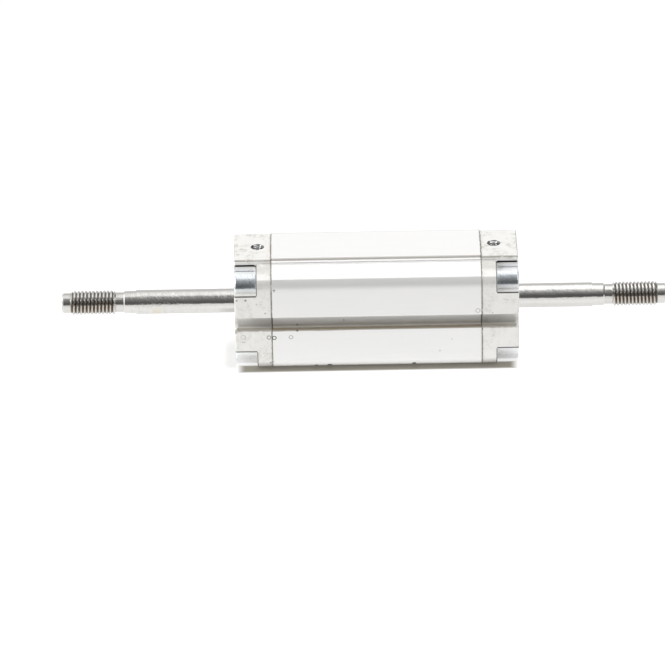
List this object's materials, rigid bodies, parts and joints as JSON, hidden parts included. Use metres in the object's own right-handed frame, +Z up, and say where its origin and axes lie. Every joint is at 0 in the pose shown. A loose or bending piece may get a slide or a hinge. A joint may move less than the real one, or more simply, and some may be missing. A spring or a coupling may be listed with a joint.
{
  "type": "double-rod compact pneumatic cylinder",
  "caption": "Compact pneumatic cylinder with a piston rod leaving each end, a square ported body with sensor slots, and caps held by collar screws.",
  "frame": {"origin": "middle of the flat base face, under the middle of the barrel", "axes": "+X along the rods towards the right end, +Y to the back, +Z up from the base to the ports"},
  "size_m": [0.2488, 0.045, 0.0471],
  "materials": {
    "barrel_anodised": "satin clear anodised, with small scratches",
    "cap_anodised": "rougher anodised casting, mottled with dirt",
    "zinc_plate": "bright bluish zinc plate",
    "rod_steel": "ground and polished stainless steel, brown stain in the threads",
    "bearing_bronze": "sintered bronze",
    "seal_polyurethane": "dull",
    "seal_rubber": "dull",
    "buffer_rubber": "dull",
    "piston_aluminium": "turned",
    "magnet": "plastic-bound magnet",
    "guide_plastic": "dull"
  },
  "bodies": {
    "housing": {"barrel": "barrel_anodised", "left_cap": "cap_anodised", "right_cap": "cap_anodised", "left_cap_screws": "zinc_plate", "right_cap_screws": "zinc_plate", "left_rod_bush": "bearing_bronze", "right_rod_bush": "bearing_bronze", "left_rod_seal": "seal_polyurethane", "right_rod_seal": "seal_polyurethane", "left_cap_o_ring": "seal_rubber", "right_cap_o_ring": "seal_rubber", "left_buffer_ring": "buffer_rubber", "right_buffer_ring": "buffer_rubber"},
    "piston_rings": {"left_piston_seal": "seal_rubber", "right_piston_seal": "seal_rubber", "piston_guide_ring": "guide_plastic"},
    "piston_and_rods": {"left_piston_rod": "rod_steel", "right_piston_rod": "rod_steel", "left_piston_half": "piston_aluminium", "right_piston_half": "piston_aluminium", "magnet_ring": "magnet", "piston_o_ring": "seal_rubber"}
  },
  "joints": [
    {"name": "rod_slide", "type": "slide", "parent": "housing", "child": "piston_rings", "axis": [1, 0, 0], "range_m": [-0.025, 0.035]},
    {"name": "rod_turn", "type": "hinge", "parent": "piston_rings", "child": "piston_and_rods", "pos_m": [0, 0, 0.0225], "axis": [1, 0, 0], "continuous": true}
  ]
}
